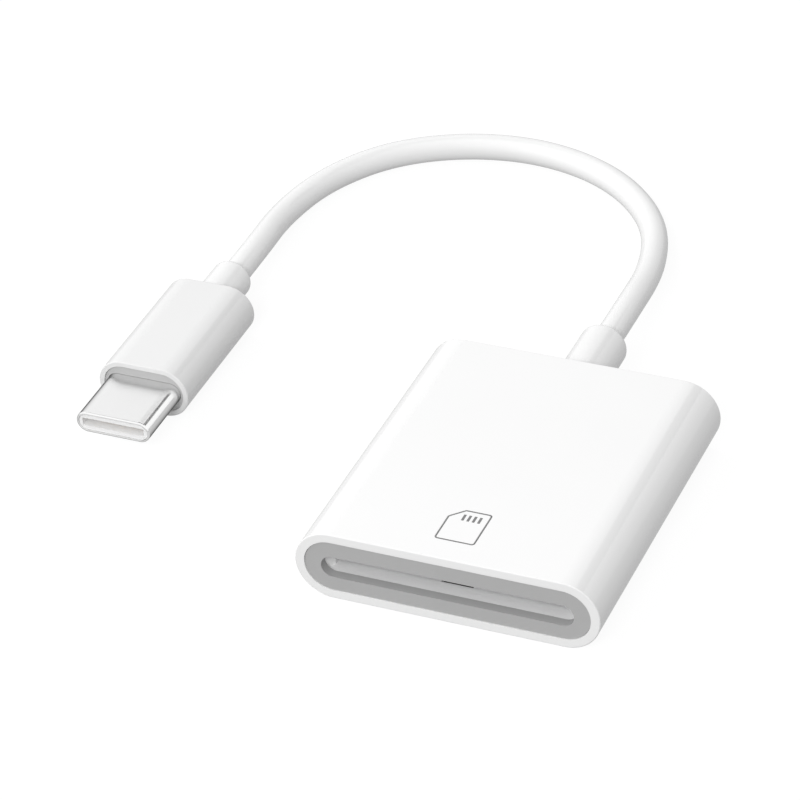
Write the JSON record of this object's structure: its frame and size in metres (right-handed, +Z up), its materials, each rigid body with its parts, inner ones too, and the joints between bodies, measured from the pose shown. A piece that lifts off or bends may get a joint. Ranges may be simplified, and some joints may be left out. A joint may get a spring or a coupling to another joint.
{
  "type": "memory card reader",
  "caption": "Flat round-sided memory card reader with a card slot at the front and a short cord that ends in a small round-ended data plug.",
  "frame": {"origin": "centre of the housing's flat underside", "axes": "+X to the right seen from the slot, +Y from the slot to the cord's exit, +Z up; the cord and plug lie to the left"},
  "size_m": [0.0632, 0.0819, 0.0076],
  "materials": {
    "white_gloss_plastic": "moulded gloss white",
    "grey_plastic": "moulded satin grey",
    "board_black": "black solder mask",
    "socket_plastic": "moulded matt off-white",
    "stamped_steel": "stamped, satin",
    "polished_steel": "drawn and polished",
    "gold_spring": "gold flash",
    "chip_black": "moulded matt black",
    "capacitor_tan": "fired ceramic",
    "wire_red": "extruded",
    "wire_black": "extruded",
    "wire_white": "extruded",
    "wire_green": "extruded",
    "white_soft_plastic": "moulded satin",
    "white_jacket": "extruded satin"
  },
  "bodies": {
    "root": {"housing": "white_gloss_plastic", "front_bezel": "grey_plastic", "circuit_board": "board_black", "socket_base": "socket_plastic", "socket_cover": "stamped_steel", "card_contacts": "gold_spring", "detect_leaf": "gold_spring", "protect_leaf": "gold_spring", "controller_chip": "chip_black", "crystal": "stamped_steel", "capacitors": "capacitor_tan", "resistors": "chip_black", "wire_power": "wire_red", "wire_data_minus": "wire_white", "wire_data_plus": "wire_green", "wire_ground": "wire_black", "reader_strain_relief": "white_soft_plastic", "reader_jacket_end": "white_jacket", "cable": "white_jacket", "plug_jacket_end": "white_jacket", "plug_strain_relief": "white_soft_plastic", "plug_cover": "white_gloss_plastic", "plug_collar": "grey_plastic", "plug_shell": "polished_steel", "plug_insulator": "socket_plastic", "plug_upper_pins": "gold_spring", "plug_lower_pins": "gold_spring", "plug_latches": "stamped_steel", "plug_board": "board_black", "plug_resistor": "chip_black", "plug_wire_power": "wire_red", "plug_wire_ground": "wire_black", "plug_wire_data_minus": "wire_white", "plug_wire_data_plus": "wire_green"}
  },
  "joints": []
}
